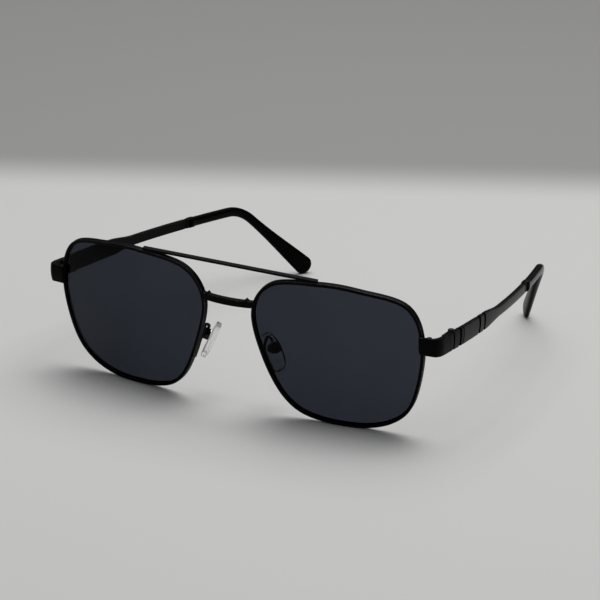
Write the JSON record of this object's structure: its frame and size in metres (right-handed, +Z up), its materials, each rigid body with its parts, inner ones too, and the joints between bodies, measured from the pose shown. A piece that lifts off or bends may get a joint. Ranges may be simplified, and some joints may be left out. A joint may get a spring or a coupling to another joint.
{
  "type": "aviator sunglasses",
  "caption": "Metal sunglasses with flat-topped drop-shaped tinted lenses, a lower bridge and a straight brow bar, folding temples with moulded tips and rocking clear nose pads.",
  "frame": {"origin": "on the table below the middle of the whole part, with the temples open", "axes": "+X to the wearer's left, -Y the way the lenses look, +Y along the temples to the ears, +Z up"},
  "size_m": [0.1416, 0.141, 0.0497],
  "materials": {
    "black_metal": "satin black coating on thin metal wire and strip",
    "smoked_lens": "smooth dark grey tinted lens",
    "gloss_tip": "gloss black moulded tip",
    "clear_pad": "clear soft moulded pad",
    "dark_screw": "dark plated screw"
  },
  "bodies": {
    "front": {"rim_left": "black_metal", "rim_right": "black_metal", "lens_left": "smoked_lens", "lens_right": "smoked_lens", "bridge": "black_metal", "brow_bar": "black_metal", "rim_lock_upper_left": "black_metal", "rim_lock_upper_right": "black_metal", "rim_lock_lower_left": "black_metal", "rim_lock_lower_right": "black_metal", "rim_lock_screw_left": "dark_screw", "rim_lock_screw_right": "dark_screw", "end_piece_left": "black_metal", "end_piece_right": "black_metal", "front_hinge_left": "black_metal", "front_hinge_right": "black_metal", "hinge_screw_left": "dark_screw", "hinge_screw_right": "dark_screw", "pad_arm_left": "black_metal", "pad_arm_right": "black_metal", "pad_box_left": "black_metal", "pad_box_right": "black_metal", "pad_screw_left": "dark_screw", "pad_screw_right": "dark_screw"},
    "temple_left": {"temple_hinge_left": "black_metal", "temple_left": "black_metal", "temple_tip_left": "gloss_tip"},
    "temple_right": {"temple_hinge_right": "black_metal", "temple_right": "black_metal", "temple_tip_right": "gloss_tip"},
    "pad_left": {"pad_mount_left": "clear_pad", "nose_pad_left": "clear_pad"},
    "pad_right": {"pad_mount_right": "clear_pad", "nose_pad_right": "clear_pad"}
  },
  "joints": [
    {"name": "left_temple_fold", "type": "hinge", "parent": "front", "child": "temple_left", "pos_m": [0.06871, -0.04929, 0.032], "axis": [0, 0, 1], "range_deg": [0, 78]},
    {"name": "right_temple_fold", "type": "hinge", "parent": "front", "child": "temple_right", "pos_m": [-0.06871, -0.04929, 0.032], "axis": [0, 0, -1], "range_deg": [0, 71]},
    {"name": "left_pad_rock", "type": "hinge", "parent": "front", "child": "pad_left", "pos_m": [0.0122, -0.05951, 0.02113], "axis": [0.4098, 0.891, 0.1954], "range_deg": [-8, 8]},
    {"name": "right_pad_rock", "type": "hinge", "parent": "front", "child": "pad_right", "pos_m": [-0.0122, -0.05951, 0.02113], "axis": [-0.4098, 0.891, 0.1954], "range_deg": [-8, 8]}
  ]
}
